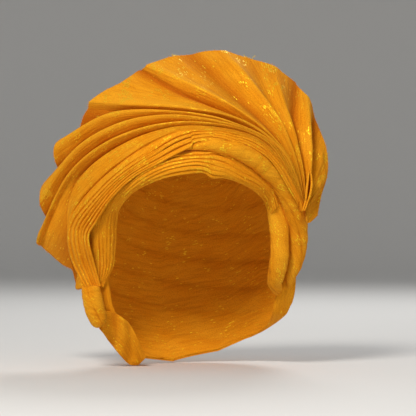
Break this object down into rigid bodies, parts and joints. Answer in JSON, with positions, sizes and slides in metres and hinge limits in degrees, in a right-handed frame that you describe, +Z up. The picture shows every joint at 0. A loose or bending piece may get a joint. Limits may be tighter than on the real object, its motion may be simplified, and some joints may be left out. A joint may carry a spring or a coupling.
{
  "type": "tied gele head tie",
  "caption": "Tied head wrap of gold brocade: a hood over the crown, fine pleats across the brow, a wide folded fan above, rolls down one cheek and a knot beside the other.",
  "frame": {"origin": "the point where the crown of the head bears on the inside of the hood", "axes": "+Z up, -Y the way the face looks, +X to the right for someone who faces the wearer"},
  "size_m": [0.2855, 0.2048, 0.3106],
  "materials": {
    "brocade": "woven brocade with a soft sheen and glints of gold thread"
  },
  "bodies": {
    "root": {"back_wrap": "brocade", "brow_band": "brocade", "brow_roll": "brocade", "side_roll": "brocade", "pleat_stack": "brocade", "fan": "brocade", "knot": "brocade", "knot_tail": "brocade", "end_tuck": "brocade"}
  },
  "joints": []
}
